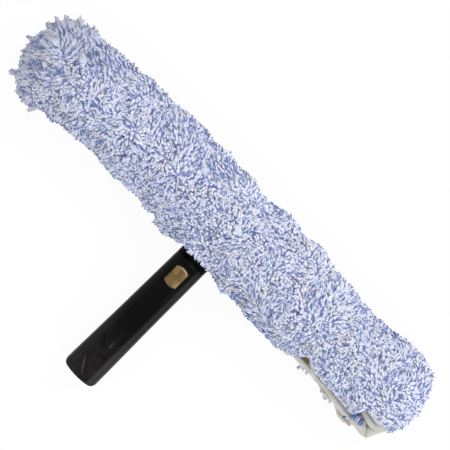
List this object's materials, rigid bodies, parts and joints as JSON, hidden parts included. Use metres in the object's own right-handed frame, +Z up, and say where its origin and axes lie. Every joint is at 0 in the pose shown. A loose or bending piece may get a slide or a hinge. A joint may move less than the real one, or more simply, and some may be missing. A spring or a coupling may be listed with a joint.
{
  "type": "window strip washer",
  "caption": "T-shaped window washer: a straight bar inside a shaggy fleece sleeve on a short handle with a push-button release and a pole socket.",
  "frame": {"origin": "centre of the pole socket's mouth, where the straight bore meets its bevel in the butt of the handle", "axes": "+X along the bar towards the end with the slit, +Y level from the butt towards the bar, +Z up from the floor that it lies on, button side up; the handle's own centre line rises 4.98 degrees from +Y because the sleeve is thicker than the handle"},
  "size_m": [0.37, 0.1808, 0.0495],
  "materials": {
    "handle_plastic": "satin black moulded plastic, lightly scuffed",
    "button_brass": "turned, slightly tarnished",
    "spring_steel": "cold-rolled spring strip",
    "hub_plastic": "black moulded plastic",
    "rivet_aluminium": "plain",
    "bar_aluminium": "mill finish extrusion",
    "cap_plastic": "black moulded plastic",
    "canvas": "off-white plain-weave canvas",
    "tape": "hook-and-loop tape",
    "pile": "white and blue cut pile"
  },
  "bodies": {
    "handle": {"handle_shell": "handle_plastic", "latch_spring": "spring_steel"},
    "button": {"release_button": "button_brass"},
    "t_bar": {"t_hub": "hub_plastic", "hub_rivets": "rivet_aluminium", "bar_tube": "bar_aluminium", "end_cap_left": "cap_plastic", "end_cap_right": "cap_plastic", "sleeve_backing": "canvas", "neck_binding": "canvas", "front_hem": "canvas", "rear_hem": "canvas", "corner_fold": "canvas", "hook_tape": "tape", "loop_tape": "tape", "sleeve_pile": "pile"}
  },
  "joints": [
    {"name": "button_press", "type": "slide", "parent": "handle", "child": "button", "axis": [0, 0.0868, -0.9962], "range_m": [0, 0.0022], "stiffness_N_per_m": 2000, "springref_m": -0.0008, "deforming": ["latch_spring"]},
    {"name": "t_bar_release", "type": "slide", "parent": "handle", "child": "t_bar", "axis": [0, 0.9962, 0.0868], "range_m": [0, 0.044]}
  ]
}
